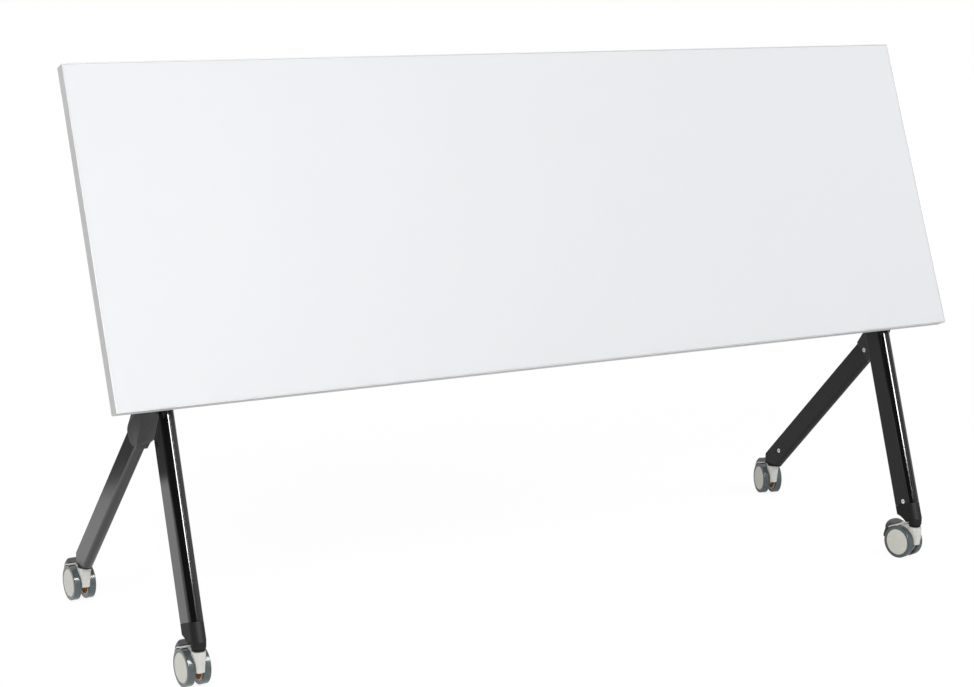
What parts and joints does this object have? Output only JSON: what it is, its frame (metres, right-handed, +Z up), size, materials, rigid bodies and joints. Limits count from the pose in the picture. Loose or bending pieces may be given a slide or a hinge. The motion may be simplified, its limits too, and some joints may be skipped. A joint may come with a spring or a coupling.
{
  "type": "folding desk",
  "caption": "Flip-top desk on castors: a long white board turns on two A-shaped black leg frames tied by a beam, with bolts that lock it flat or tipped.",
  "frame": {"origin": "on the floor, under the middle of the table's bounding box", "axes": "+X along the top's length, to the right as seen from the sitter's side, +Y from the sitter's side towards the back, +Z up"},
  "size_m": [1.8, 0.5782, 1.0253],
  "materials": {
    "laminate": "white satin laminate on board",
    "band": "pale grey edge band",
    "black": "gloss black coated extrusion",
    "beam": "satin black painted steel",
    "cast": "satin black coated casting",
    "socket": "matt charcoal moulding",
    "plastic": "matt black moulding",
    "steel": "zinc-plated steel",
    "cream": "cream nylon",
    "cap": "cream nylon, satin",
    "tyre": "blue-grey soft tread",
    "pedal": "dark grey moulding"
  },
  "bodies": {
    "frame": {"main_leg_left": "black", "main_leg_right": "black", "rear_leg_left": "black", "rear_leg_right": "black", "knuckle_left": "cast", "knuckle_right": "cast", "leg_head_left": "cast", "leg_head_right": "cast", "pivot_pin_left": "steel", "pivot_pin_right": "steel", "pivot_clip_left": "steel", "pivot_clip_right": "steel", "front_socket_left": "socket", "front_socket_right": "socket", "rear_socket_left": "socket", "rear_socket_right": "socket", "cross_beam": "beam", "castor_stem_front_left": "steel", "castor_stem_front_right": "steel", "castor_stem_rear_left": "steel", "castor_stem_rear_right": "steel"},
    "top": {"worktop": "laminate", "edge_band": "band", "top_bracket_left": "cast", "top_bracket_right": "cast"},
    "release": {"release_rod": "steel", "release_lever_left": "plastic", "release_lever_right": "plastic"},
    "latch_left": {"latch_bolt_left": "steel"},
    "latch_right": {"latch_bolt_right": "steel"},
    "castor_front_left": {"castor_housing_front_left": "cream", "castor_axle_front_left": "steel"},
    "pedal_front_left": {"brake_pedal_front_left": "pedal"},
    "wheel_front_left_a": {"wheel_core_front_left_a": "cap", "tyre_front_left_a": "tyre"},
    "wheel_front_left_b": {"wheel_core_front_left_b": "cap", "tyre_front_left_b": "tyre"},
    "castor_front_right": {"castor_housing_front_right": "cream", "castor_axle_front_right": "steel"},
    "pedal_front_right": {"brake_pedal_front_right": "pedal"},
    "wheel_front_right_a": {"wheel_core_front_right_a": "cap", "tyre_front_right_a": "tyre"},
    "wheel_front_right_b": {"wheel_core_front_right_b": "cap", "tyre_front_right_b": "tyre"},
    "castor_rear_left": {"castor_housing_rear_left": "cream", "castor_axle_rear_left": "steel"},
    "pedal_rear_left": {"brake_pedal_rear_left": "pedal"},
    "wheel_rear_left_a": {"wheel_core_rear_left_a": "cap", "tyre_rear_left_a": "tyre"},
    "wheel_rear_left_b": {"wheel_core_rear_left_b": "cap", "tyre_rear_left_b": "tyre"},
    "castor_rear_right": {"castor_housing_rear_right": "cream", "castor_axle_rear_right": "steel"},
    "pedal_rear_right": {"brake_pedal_rear_right": "pedal"},
    "wheel_rear_right_a": {"wheel_core_rear_right_a": "cap", "tyre_rear_right_a": "tyre"},
    "wheel_rear_right_b": {"wheel_core_rear_right_b": "cap", "tyre_rear_right_b": "tyre"}
  },
  "joints": [
    {"name": "top_flip", "type": "hinge", "parent": "frame", "child": "top", "pos_m": [0, -0.0402, 0.668], "axis": [-1, 0, 0], "range_deg": [0, 66.75]},
    {"name": "release_lift", "type": "hinge", "parent": "frame", "child": "release", "pos_m": [0, -0.02607, 0.60921], "axis": [-1, 0, 0], "range_deg": [0, 9.77], "stiffness_Nm_per_rad": 1, "springref_deg": 9.77},
    {"name": "latch_left_slide", "type": "slide", "parent": "frame", "child": "latch_left", "axis": [0, 0.3535, 0.9354], "range_m": [0, 0.0058]},
    {"name": "latch_right_slide", "type": "slide", "parent": "frame", "child": "latch_right", "axis": [0, 0.3535, 0.9354], "range_m": [0, 0.0058]},
    {"name": "swivel_front_left", "type": "hinge", "parent": "frame", "child": "castor_front_left", "pos_m": [-0.7884, -0.274, 0.0723], "axis": [0, 0, 1], "continuous": true},
    {"name": "roll_front_left_a", "type": "hinge", "parent": "castor_front_left", "child": "wheel_front_left_a", "pos_m": [-0.78886, -0.2475, 0.0331], "axis": [-0.9998, -0.0175, 0], "continuous": true},
    {"name": "roll_front_left_b", "type": "hinge", "parent": "castor_front_left", "child": "wheel_front_left_b", "pos_m": [-0.78886, -0.2475, 0.0331], "axis": [-0.9998, -0.0175, 0], "continuous": true},
    {"name": "brake_front_left", "type": "hinge", "parent": "castor_front_left", "child": "pedal_front_left", "pos_m": [-0.78928, -0.22355, 0.05115], "axis": [-0.9998, -0.0175, 0], "range_deg": [0, 10]},
    {"name": "swivel_front_right", "type": "hinge", "parent": "frame", "child": "castor_front_right", "pos_m": [0.7884, -0.274, 0.0723], "axis": [0, 0, 1], "continuous": true},
    {"name": "roll_front_right_a", "type": "hinge", "parent": "castor_front_right", "child": "wheel_front_right_a", "pos_m": [0.7838, -0.2479, 0.0331], "axis": [-0.9848, -0.1736, 0], "continuous": true},
    {"name": "roll_front_right_b", "type": "hinge", "parent": "castor_front_right", "child": "wheel_front_right_b", "pos_m": [0.7838, -0.2479, 0.0331], "axis": [-0.9848, -0.1736, 0], "continuous": true},
    {"name": "brake_front_right", "type": "hinge", "parent": "castor_front_right", "child": "pedal_front_right", "pos_m": [0.77964, -0.22431, 0.05115], "axis": [-0.9848, -0.1736, 0], "range_deg": [0, 10]},
    {"name": "swivel_rear_left", "type": "hinge", "parent": "frame", "child": "castor_rear_left", "pos_m": [-0.8101, 0.2236, 0.0723], "axis": [0, 0, 1], "continuous": true},
    {"name": "roll_rear_left_a", "type": "hinge", "parent": "castor_rear_left", "child": "wheel_rear_left_a", "pos_m": [-0.81056, 0.2501, 0.0331], "axis": [-0.9998, -0.0175, 0], "continuous": true},
    {"name": "roll_rear_left_b", "type": "hinge", "parent": "castor_rear_left", "child": "wheel_rear_left_b", "pos_m": [-0.81056, 0.2501, 0.0331], "axis": [-0.9998, -0.0175, 0], "continuous": true},
    {"name": "brake_rear_left", "type": "hinge", "parent": "castor_rear_left", "child": "pedal_rear_left", "pos_m": [-0.81098, 0.27405, 0.05115], "axis": [-0.9998, -0.0175, 0], "range_deg": [0, 10]},
    {"name": "swivel_rear_right", "type": "hinge", "parent": "frame", "child": "castor_rear_right", "pos_m": [0.8101, 0.2236, 0.0723], "axis": [0, 0, 1], "continuous": true},
    {"name": "roll_rear_right_a", "type": "hinge", "parent": "castor_rear_right", "child": "wheel_rear_right_a", "pos_m": [0.8174, 0.24907, 0.0331], "axis": [-0.9613, 0.2756, 0], "continuous": true},
    {"name": "roll_rear_right_b", "type": "hinge", "parent": "castor_rear_right", "child": "wheel_rear_right_b", "pos_m": [0.8174, 0.24907, 0.0331], "axis": [-0.9613, 0.2756, 0], "continuous": true},
    {"name": "brake_rear_right", "type": "hinge", "parent": "castor_rear_right", "child": "pedal_rear_right", "pos_m": [0.82401, 0.2721, 0.05115], "axis": [-0.9613, 0.2756, 0], "range_deg": [0, 10]}
  ],
  "couplings": [
    {"joint": "latch_left_slide", "follows": "release_lift", "m_per_rad": 0.034},
    {"joint": "latch_right_slide", "follows": "release_lift", "m_per_rad": 0.034}
  ]
}
